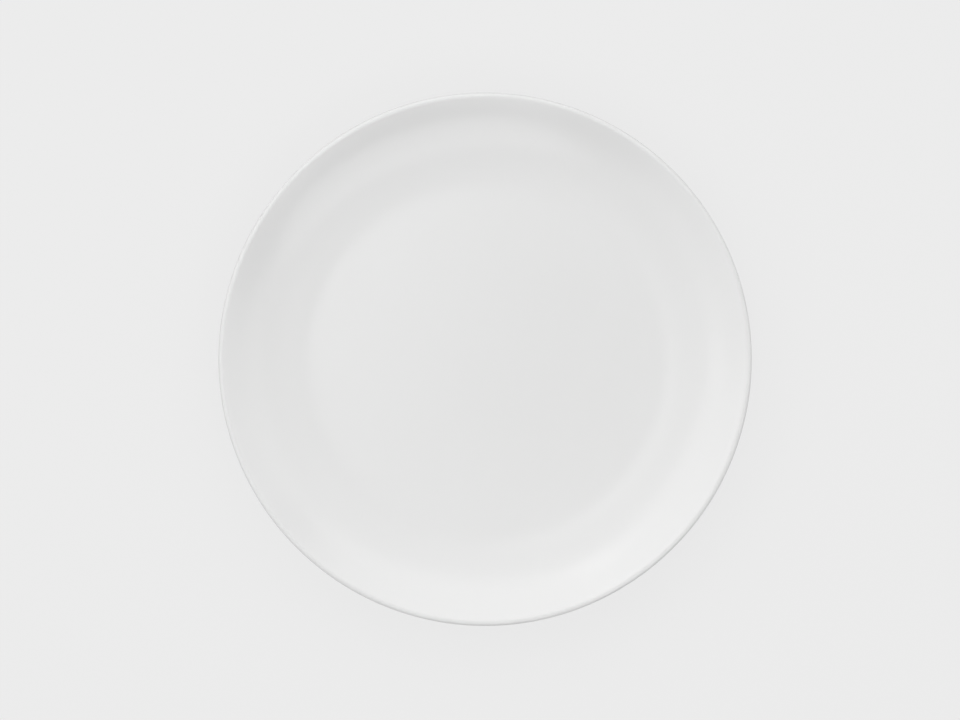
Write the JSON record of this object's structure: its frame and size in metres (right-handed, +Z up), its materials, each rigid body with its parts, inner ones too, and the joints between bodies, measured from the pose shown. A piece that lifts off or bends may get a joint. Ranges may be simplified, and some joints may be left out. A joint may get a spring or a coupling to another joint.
{
  "type": "coupe dinner plate",
  "caption": "Round rimless dinner plate: a flat well, a wall that curves up to a rounded lip, and a foot ring with a bare standing face.",
  "frame": {"origin": "on the plate's axis, in the plane of the foot ring's standing face", "axes": "+Z up along the plate's axis, with the well facing up; X and Y lie in the table's plane, and neither is marked on a round plate"},
  "size_m": [0.27, 0.27, 0.0244],
  "materials": {
    "bisque": "matte, fired and bare",
    "glaze": "gloss"
  },
  "bodies": {
    "root": {"porcelain_body": "bisque", "outer_glaze": "glaze", "base_glaze": "glaze"}
  },
  "joints": []
}
